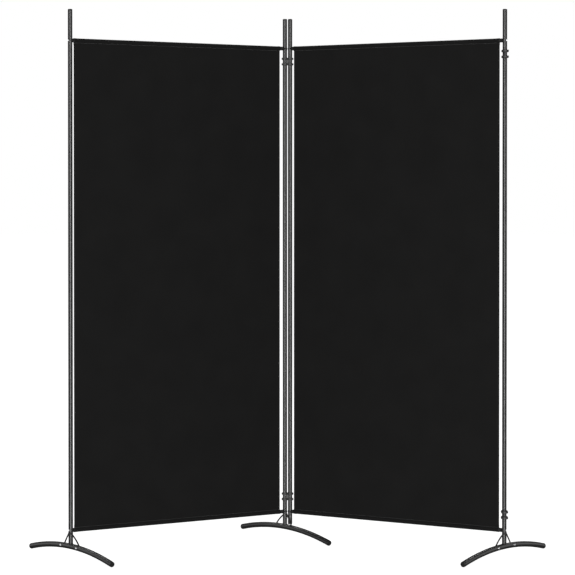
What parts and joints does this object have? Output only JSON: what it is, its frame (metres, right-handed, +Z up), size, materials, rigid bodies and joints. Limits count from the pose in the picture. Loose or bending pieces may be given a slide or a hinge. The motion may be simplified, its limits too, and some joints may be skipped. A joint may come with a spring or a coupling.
{
  "type": "folding room divider screen",
  "caption": "Free-standing folding screen: two black fabric panels stretched in steel pole frames, linked by turning clips, on arched feet.",
  "frame": {"origin": "on the floor, at the middle of the whole screen's box", "axes": "+Z up; +X to the right seen from the front; +Y to the back, so that the V of the two panels opens towards -Y"},
  "size_m": [1.7398, 0.9333, 1.8],
  "materials": {
    "black_steel": "satin black powder coat",
    "black_cloth": "plain woven polyester, matt",
    "clip_plastic": "fine moulded texture",
    "cap_plastic": "smooth moulded",
    "bright_zinc": "bright zinc plate",
    "insert_steel": "black zinc plate"
  },
  "bodies": {
    "centre_clips": {"upper_centre_clip": "clip_plastic", "lower_centre_clip": "clip_plastic"},
    "left_panel": {"centre_foot_back_cap": "cap_plastic", "centre_foot_bracket": "black_steel", "centre_foot_front_cap": "cap_plastic", "centre_foot_screws": "bright_zinc", "centre_foot_tube": "black_steel", "left_bar_inserts": "insert_steel", "left_bottom_bar": "black_steel", "left_corner_screws": "bright_zinc", "left_fabric": "black_cloth", "left_foot_back_cap": "cap_plastic", "left_foot_bracket": "black_steel", "left_foot_front_cap": "cap_plastic", "left_foot_screws": "bright_zinc", "left_foot_tube": "black_steel", "left_inner_pole_cap": "cap_plastic", "left_inner_pole_lower": "black_steel", "left_inner_pole_upper": "black_steel", "left_outer_pole_cap": "cap_plastic", "left_outer_pole_lower": "black_steel", "left_outer_pole_upper": "black_steel", "left_top_bar": "black_steel"},
    "right_panel": {"right_bar_inserts": "insert_steel", "right_bottom_bar": "black_steel", "right_corner_screws": "bright_zinc", "right_fabric": "black_cloth", "right_foot_back_cap": "cap_plastic", "right_foot_bracket": "black_steel", "right_foot_front_cap": "cap_plastic", "right_foot_screws": "bright_zinc", "right_foot_tube": "black_steel", "right_inner_pole_cap": "cap_plastic", "right_inner_pole_foot_plug": "cap_plastic", "right_inner_pole_lower": "black_steel", "right_inner_pole_upper": "black_steel", "right_outer_pole_cap": "cap_plastic", "right_outer_pole_lower": "black_steel", "right_outer_pole_upper": "black_steel", "right_top_bar": "black_steel"},
    "upper_spare_clip": {"upper_spare_clip": "clip_plastic"},
    "lower_spare_clip": {"lower_spare_clip": "clip_plastic"}
  },
  "joints": [
    {"name": "left_fold", "type": "hinge", "parent": "centre_clips", "child": "left_panel", "pos_m": [-0.009, 0.246, 1.6526], "axis": [0, 0, -1], "range_deg": [-13, 83]},
    {"name": "right_fold", "type": "hinge", "parent": "centre_clips", "child": "right_panel", "pos_m": [0.009, 0.246, 1.6526], "axis": [0, 0, 1], "range_deg": [-62, 132]},
    {"name": "upper_spare_turn", "type": "hinge", "parent": "right_panel", "child": "upper_spare_clip", "pos_m": [0.71183, -0.24613, 1.6526], "axis": [0, 0, 1], "range_deg": [-85, 195]},
    {"name": "lower_spare_turn", "type": "hinge", "parent": "right_panel", "child": "lower_spare_clip", "pos_m": [0.71183, -0.24613, 0.1422], "axis": [0, 0, 1], "range_deg": [-85, 195]}
  ]
}
